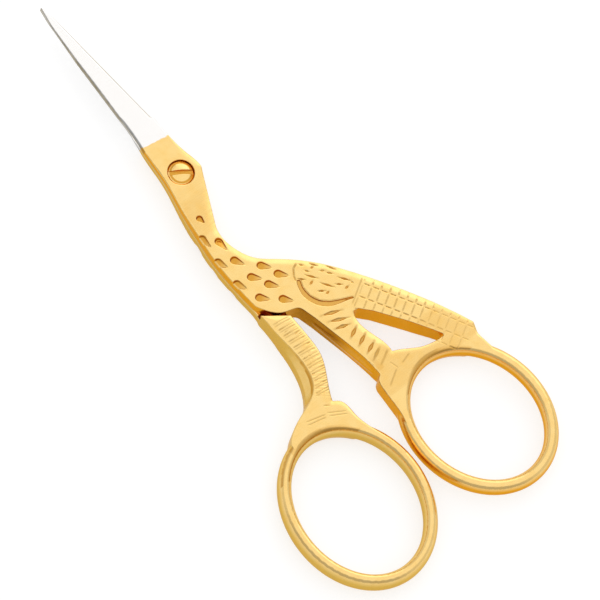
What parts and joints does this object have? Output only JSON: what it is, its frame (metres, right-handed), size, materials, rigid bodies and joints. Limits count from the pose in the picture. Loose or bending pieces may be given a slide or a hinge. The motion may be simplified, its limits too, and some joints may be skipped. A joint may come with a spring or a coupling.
{
  "type": "stork embroidery scissors",
  "caption": "Small bird-shaped embroidery scissors: gold-plated handles with finger rings, bare pointed steel blades, halves that turn on a slotted screw.",
  "frame": {"origin": "middle of the closed scissors' outline, at the height of the back face that they lie on", "axes": "+Y runs from the finger rings to the blades' tips, +X towards the bird's tail, +Z out of the front face with the screw's head"},
  "size_m": [0.0404, 0.0899, 0.0038],
  "materials": {
    "plated_front": "polished gold plating on forged steel, bare polished blade",
    "plated_back": "polished gold plating on forged steel, bare polished blade",
    "plated_screw": "polished gold plating on turned steel"
  },
  "bodies": {
    "front": {"front_half": "plated_front"},
    "back": {"back_half": "plated_back"},
    "screw": {"pivot_screw": "plated_screw"}
  },
  "joints": [
    {"name": "pivot_hinge", "type": "hinge", "parent": "front", "child": "back", "pos_m": [0.00099, 0.01605, 0.0019], "axis": [0, 0, -1], "range_deg": [0, 65]},
    {"name": "screw_turn", "type": "hinge", "parent": "back", "child": "screw", "pos_m": [0.00099, 0.01605, 0.0019], "axis": [0, 0, 1], "range_deg": [0, 90]}
  ]
}
